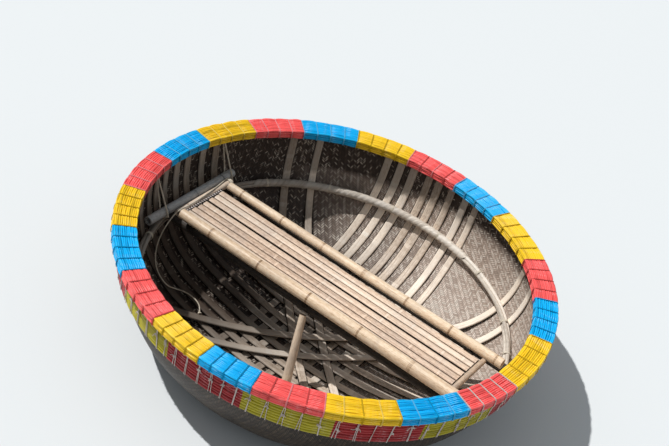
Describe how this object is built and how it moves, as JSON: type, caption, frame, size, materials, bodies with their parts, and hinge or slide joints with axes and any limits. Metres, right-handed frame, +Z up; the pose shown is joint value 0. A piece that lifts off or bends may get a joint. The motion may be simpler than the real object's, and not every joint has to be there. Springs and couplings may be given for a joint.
{
  "type": "round basket boat",
  "caption": "Round woven split-bamboo basket boat with a lashed, painted rod rim, inner ribs and hoop, and a slatted bamboo bench across the bowl.",
  "frame": {"origin": "centre of the boat at its waterline, on the vertical axis of the bowl", "axes": "+Z up out of the bowl, +X along the bench towards its crossrod end, +Y towards the bench's thinner back culm"},
  "size_m": [2.1063, 2.1065, 0.6611],
  "materials": {
    "woven_bamboo": "weathered split-bamboo weave, grey-brown, tarred in patches",
    "rib_bamboo": "dry split bamboo, pale tan to grey",
    "bench_bamboo": "worn bamboo, satin, with nodes and grain",
    "weathered_bamboo": "weathered grey-beige bamboo, matt",
    "grey_wood": "dark grey weathered poles, matt",
    "paint_yellow": "yellow paint on split rods, scuffed satin",
    "paint_red": "red paint on split rods, scuffed satin",
    "paint_blue": "blue paint on split rods, scuffed satin",
    "lashing_cord": "twisted cord, partly painted over",
    "sling_rope": "thin laid rope, pale grey"
  },
  "bodies": {
    "root": {"band_red": "paint_red", "band_yellow": "paint_yellow", "bench_back_culm": "bench_bamboo", "bench_beam_back": "grey_wood", "bench_beam_front": "grey_wood", "bench_bearers": "grey_wood", "bench_crossbar": "bench_bamboo", "bench_crossrod": "weathered_bamboo", "bench_front_culm": "bench_bamboo", "bench_slats": "bench_bamboo", "floor_post": "grey_wood", "hull_basket": "woven_bamboo", "inner_hoop": "weathered_bamboo", "loose_cord": "sling_rope", "rib_across_1": "rib_bamboo", "rib_across_2": "rib_bamboo", "rib_across_3": "rib_bamboo", "rib_across_4": "rib_bamboo", "rib_across_5": "rib_bamboo", "rib_across_6": "rib_bamboo", "rib_across_7": "rib_bamboo", "rib_across_8": "rib_bamboo", "rib_along_1": "rib_bamboo", "rib_along_2": "rib_bamboo", "rib_along_3": "rib_bamboo", "rib_along_4": "rib_bamboo", "rib_along_5": "rib_bamboo", "rib_along_6": "rib_bamboo", "rib_along_7": "rib_bamboo", "rib_along_8": "rib_bamboo", "rib_slant_left_1": "rib_bamboo", "rib_slant_left_2": "rib_bamboo", "rib_slant_right_1": "rib_bamboo", "rib_slant_right_2": "rib_bamboo", "rim_blue": "paint_blue", "rim_lashings": "lashing_cord", "rim_red": "paint_red", "rim_yellow": "paint_yellow", "yoke_pole": "grey_wood", "yoke_slings": "sling_rope"}
  },
  "joints": []
}
